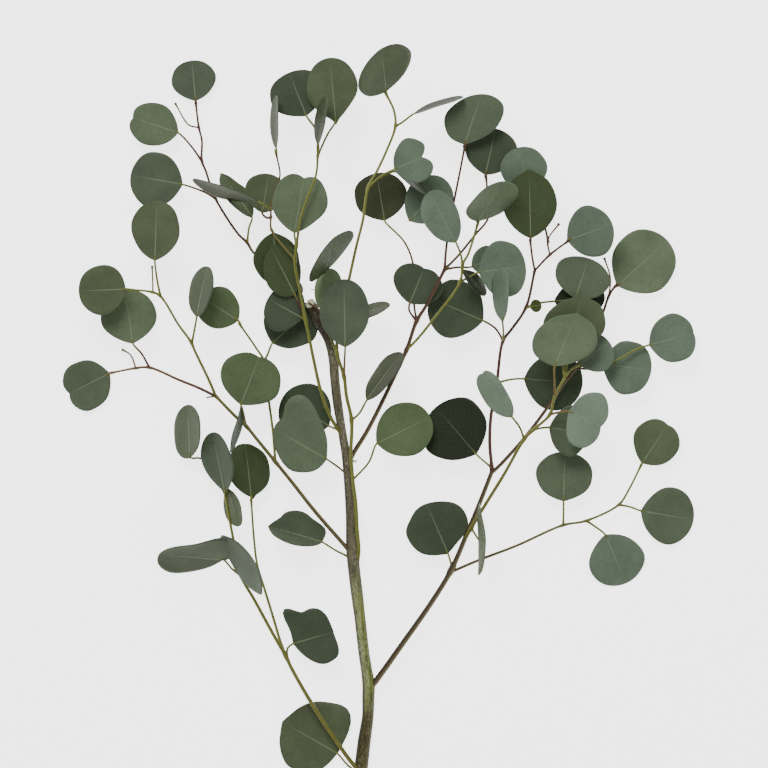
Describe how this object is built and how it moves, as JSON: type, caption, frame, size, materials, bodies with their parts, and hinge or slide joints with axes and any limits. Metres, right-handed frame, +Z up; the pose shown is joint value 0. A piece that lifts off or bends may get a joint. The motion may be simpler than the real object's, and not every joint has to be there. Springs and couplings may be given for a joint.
{
  "type": "eucalyptus branch",
  "caption": "Cut silver-dollar eucalyptus branch lying flat: a woody stem with slender side sprays of round grey-green leaves on thin petioles",
  "frame": {"origin": "on the table under the middle of the branch's outline", "axes": "+Y along the branch from its cut heel to its tip, +X to the right seen from above, +Z up from the table"},
  "size_m": [0.5065, 0.6191, 0.0941],
  "materials": {
    "stem": "olive-brown bark with grey streaks and a pale cut end, satin",
    "twig": "smooth young shoots, yellow-green to red-brown, satin",
    "leaf": "leathery grey-green leaf with a thin waxy bloom and a pale midrib, matt satin"
  },
  "bodies": {
    "root": {"main_stem": "stem", "heel_leaf": "leaf", "stem_leaf_left": "leaf", "stem_leaf_big": "leaf", "stem_leaf_right": "leaf", "stem_leaf_dark": "leaf", "low_left_spray": "leaf", "left_spray": "leaf", "upper_left_spray": "leaf", "far_left_shoot": "leaf", "upper_mid_spray": "leaf", "upper_right_spray": "leaf", "right_spray": "leaf", "right_inner_shoot": "leaf", "right_outer_shoot": "leaf", "right_mid_shoot": "leaf"}
  },
  "joints": []
}
